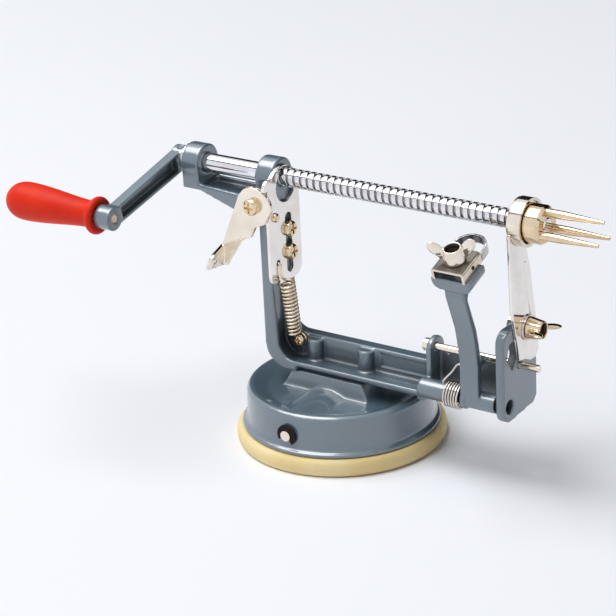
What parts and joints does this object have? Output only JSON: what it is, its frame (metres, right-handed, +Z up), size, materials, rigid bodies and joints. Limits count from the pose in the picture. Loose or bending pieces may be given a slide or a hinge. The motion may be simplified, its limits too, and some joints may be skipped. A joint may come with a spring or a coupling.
{
  "type": "apple peeler",
  "caption": "Hand-cranked kitchen peeler: a threaded spindle with a fork feeds fruit past a sprung blade arm and a coring slicer, on a suction base.",
  "frame": {"origin": "middle of the suction pad's underside, on the table", "axes": "+Z up from the table, +X along the spindle towards its fork, -Y towards the peeling arm"},
  "size_m": [0.2992, 0.1213, 0.1416],
  "materials": {
    "rubber": "matt cream rubber",
    "paint": "glossy slate grey paint on castings",
    "chrome": "bright chrome plate",
    "nickel": "bright warm nickel plate",
    "steel": "bright steel",
    "spring_wire": "plated spring wire",
    "brass": "plain brass",
    "red_plastic": "glossy red plastic",
    "black_oxide": "black oxide on spring steel"
  },
  "bodies": {
    "stand": {"base_housing": "paint", "suction_pad": "rubber", "frame": "paint", "frame_screws": "steel", "lever_screw": "nickel", "guide_screws": "nickel", "spring_screw": "nickel", "stop_rod": "steel", "arm_pivot_pin": "steel", "torsion_spring": "spring_wire", "slicer_blade": "chrome", "coring_ring": "chrome", "corer_bolt": "steel", "corer_washer": "steel"},
    "suction_shaft": {"cam_shaft": "steel", "suction_cam": "steel", "shaft_clip": "black_oxide", "suction_lever": "steel", "lever_pin": "steel"},
    "pad_middle": {"pad_stud": "steel"},
    "carriage": {"crank_washer": "steel"},
    "spindle_set": {"spindle": "chrome", "crank_arm": "paint", "crank_pin": "steel", "grip_pin": "brass", "fork_hub": "nickel", "fork_tines": "nickel"},
    "handle": {"grip": "red_plastic"},
    "release": {"release_lever": "nickel"},
    "half_nut": {"halfnut_plate": "chrome", "halfnut_spring": "spring_wire"},
    "peeling_arm": {"peel_arm": "paint", "blade_holder": "nickel", "peeling_blade": "chrome", "blade_stud": "steel"},
    "blade_nut": {"blade_wing_nut": "nickel"},
    "corer_nut": {"corer_wing_nut": "nickel"}
  },
  "joints": [
    {"name": "spindle_feed", "type": "slide", "parent": "stand", "child": "carriage", "axis": [1, 0, 0], "range_m": [-0.1092, 0]},
    {"name": "crank_turn", "type": "hinge", "parent": "carriage", "child": "spindle_set", "pos_m": [0, 0, 0.13], "axis": [1, 0, 0], "range_deg": [-10080, 0]},
    {"name": "grip_spin", "type": "hinge", "parent": "spindle_set", "child": "handle", "pos_m": [-0.13, -0.05775, 0.11699], "axis": [1, 0, 0], "continuous": true},
    {"name": "release_swing", "type": "hinge", "parent": "stand", "child": "release", "pos_m": [-0.0343, -0.0168, 0.1192], "axis": [0, -1, 0], "range_deg": [0, 60]},
    {"name": "halfnut_lift", "type": "slide", "parent": "stand", "child": "half_nut", "axis": [0, 0, 1], "range_m": [0, 0.0015], "stiffness_N_per_m": 800, "springref_m": -0.004, "deforming": ["halfnut_spring"]},
    {"name": "arm_swing", "type": "hinge", "parent": "stand", "child": "peeling_arm", "pos_m": [0.085, -0.01, 0.0404], "axis": [1, 0, 0], "range_deg": [0, 40], "stiffness_Nm_per_rad": 0.3, "springref_deg": -34.38, "deforming": ["torsion_spring"]},
    {"name": "blade_nut_turn", "type": "hinge", "parent": "peeling_arm", "child": "blade_nut", "pos_m": [0.0826, -0.02542, 0.1189], "axis": [0, -0.342, 0.9397], "continuous": true},
    {"name": "corer_nut_turn", "type": "hinge", "parent": "stand", "child": "corer_nut", "pos_m": [0.11, 0.0041, 0.076], "axis": [1, 0, 0], "continuous": true},
    {"name": "suction_turn", "type": "hinge", "parent": "stand", "child": "suction_shaft", "pos_m": [0, 0, 0.018], "axis": [0, 1, 0], "range_deg": [0, 90]},
    {"name": "pad_lift", "type": "slide", "parent": "stand", "child": "pad_middle", "axis": [0, 0, 1], "range_m": [0, 0.0025]}
  ],
  "couplings": [
    {"joint": "spindle_feed", "follows": "crank_turn", "m_per_rad": 0.0006207},
    {"joint": "release_swing", "follows": "halfnut_lift", "rad_per_m": 698.13},
    {"joint": "suction_turn", "follows": "pad_lift", "rad_per_m": 628.32}
  ]
}
